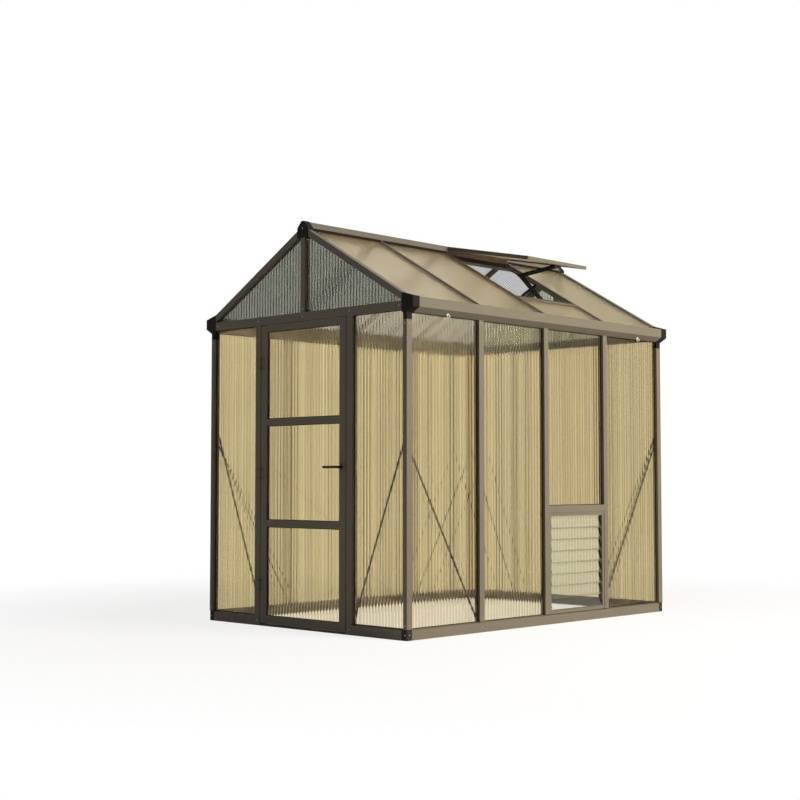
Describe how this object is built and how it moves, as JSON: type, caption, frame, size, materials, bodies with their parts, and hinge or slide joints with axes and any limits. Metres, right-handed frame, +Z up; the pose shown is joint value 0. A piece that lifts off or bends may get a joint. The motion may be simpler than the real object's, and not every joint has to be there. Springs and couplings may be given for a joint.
{
  "type": "walk-in greenhouse",
  "caption": "Gabled walk-in greenhouse: metal bar frame glazed with twin-wall sheet, hinged end door with lever handle, propped roof vent and side wall louvre.",
  "frame": {"origin": "centre of the overall box, at ground level", "axes": "+Z up; the door gable faces -Y; the wall with the louvre and the slope with the roof vent face +X"},
  "size_m": [1.9366, 2.721, 2.5911],
  "materials": {
    "frame_bars": "satin powder coat, warm dark grey",
    "moulded_caps": "moulded black plastic",
    "twin_wall_sheet": "translucent twin-wall sheet with fine upright ribs",
    "clear_blades": "clear",
    "dark_hardware": "satin black coated steel"
  },
  "bodies": {
    "house": {"front_base_rails": "frame_bars", "back_base_rail": "frame_bars", "left_base_rail": "frame_bars", "right_base_rail": "frame_bars", "door_threshold": "frame_bars", "corner_posts": "frame_bars", "left_wall_studs": "frame_bars", "right_wall_studs": "frame_bars", "back_wall_studs": "frame_bars", "door_jambs": "frame_bars", "front_tie_beam": "frame_bars", "back_tie_beam": "frame_bars", "gable_king_posts": "frame_bars", "left_gutter": "frame_bars", "right_gutter": "frame_bars", "ridge_beam": "frame_bars", "front_rake_bars": "frame_bars", "back_rake_bars": "frame_bars", "left_roof_bars": "frame_bars", "right_roof_bars": "frame_bars", "louvre_transom": "frame_bars", "louvre_frame": "frame_bars", "vent_sill": "frame_bars", "vent_lid_frame": "frame_bars", "base_corner_blocks": "moulded_caps", "eave_corner_caps": "moulded_caps", "ridge_end_caps": "moulded_caps", "front_wall_panels": "twin_wall_sheet", "back_wall_panels": "twin_wall_sheet", "left_wall_panels": "twin_wall_sheet", "right_wall_panels": "twin_wall_sheet", "front_gable_panels": "twin_wall_sheet", "back_gable_panels": "twin_wall_sheet", "left_roof_panels": "twin_wall_sheet", "right_roof_panels": "twin_wall_sheet", "vent_lid_pane": "twin_wall_sheet", "louvre_blades": "clear_blades", "end_wall_braces": "dark_hardware", "side_wall_braces": "dark_hardware", "vent_opener_arms": "dark_hardware", "vent_opener_cylinder": "dark_hardware", "door_hinge_knuckles": "dark_hardware"},
    "door": {"door_stiles": "frame_bars", "door_rails": "frame_bars", "door_panes": "twin_wall_sheet", "door_hinge_leaves": "dark_hardware", "lever_roses": "dark_hardware"},
    "lever": {"lever_handle": "dark_hardware"}
  },
  "joints": [
    {"name": "door_swing", "type": "hinge", "parent": "house", "child": "door", "pos_m": [-0.4, -1.3145, 0.98], "axis": [0, 0, -1], "range_deg": [0, 110]},
    {"name": "lever_turn", "type": "hinge", "parent": "door", "child": "lever", "pos_m": [0.3685, -1.3075, 1.02], "axis": [0, -1, 0], "range_deg": [0, 40], "stiffness_Nm_per_rad": 1, "springref_deg": -45.84}
  ]
}
